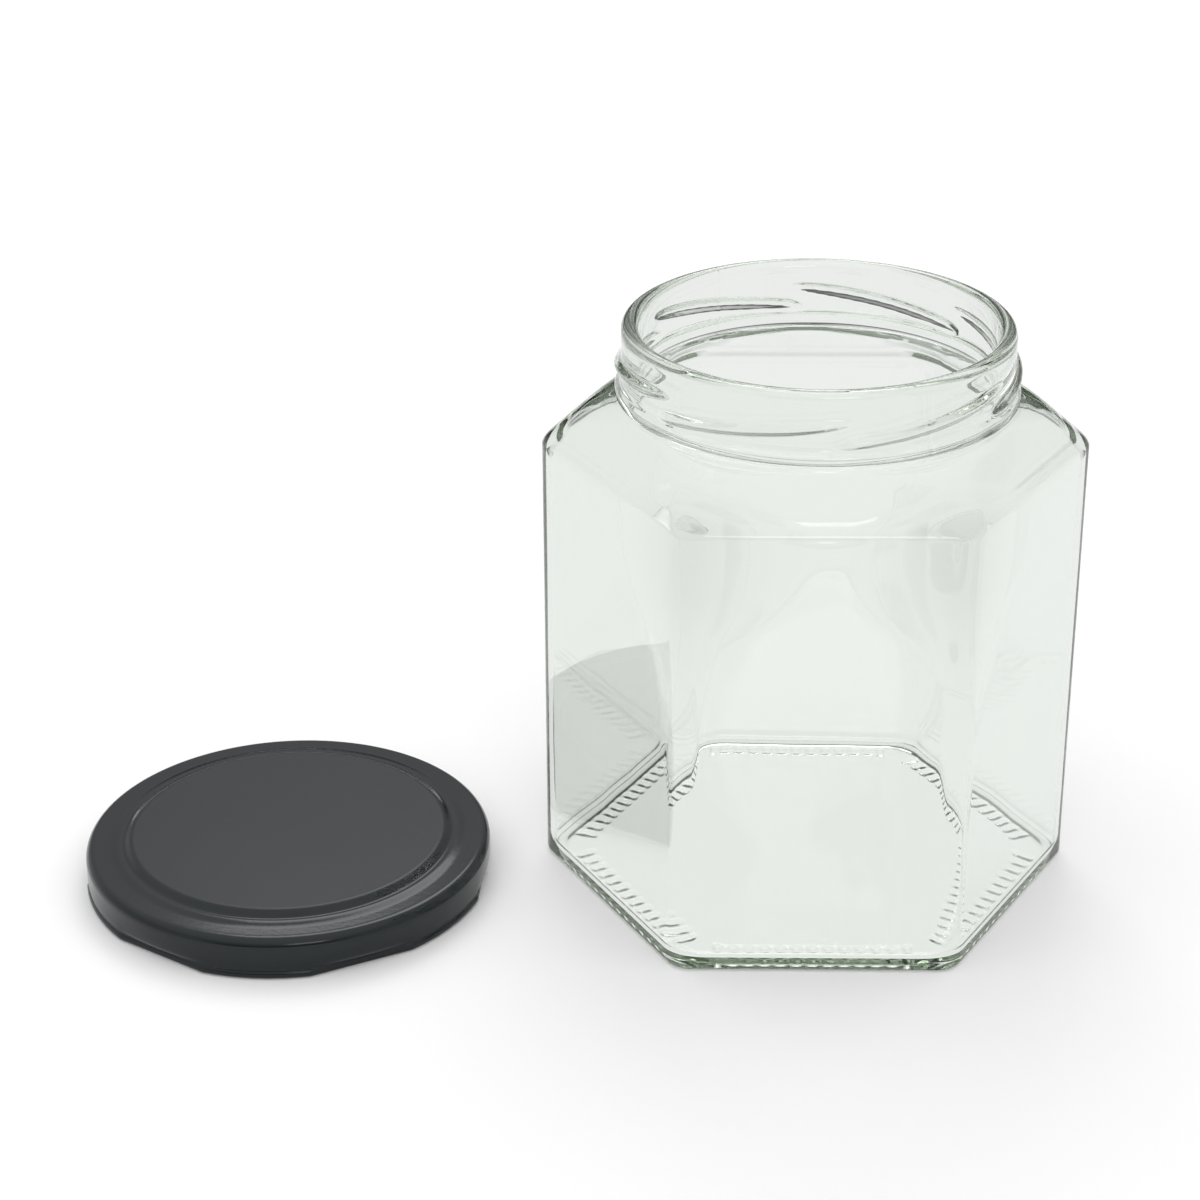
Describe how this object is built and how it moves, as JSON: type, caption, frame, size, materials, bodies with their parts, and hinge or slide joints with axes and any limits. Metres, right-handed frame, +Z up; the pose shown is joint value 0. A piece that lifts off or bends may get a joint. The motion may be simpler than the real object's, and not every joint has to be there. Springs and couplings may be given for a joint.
{
  "type": "honey jar",
  "caption": "Empty six-sided clear glass honey jar with a wide twist-off threaded mouth, its black lacquered metal lid lying beside it.",
  "frame": {"origin": "middle of the jar's foot, on the table", "axes": "+Z up along the jar's axis, +X towards an upright edge of the jar and away from the lid, +Y square to a flat face; the lid lies at -X"},
  "size_m": [0.206, 0.1006, 0.12],
  "materials": {
    "flint_glass": "clear, smooth, faint green at thick edges",
    "black_lacquer": "gloss black lacquer on tinplate"
  },
  "bodies": {
    "root": {"glass_jar": "flint_glass", "lid": "black_lacquer"}
  },
  "joints": []
}
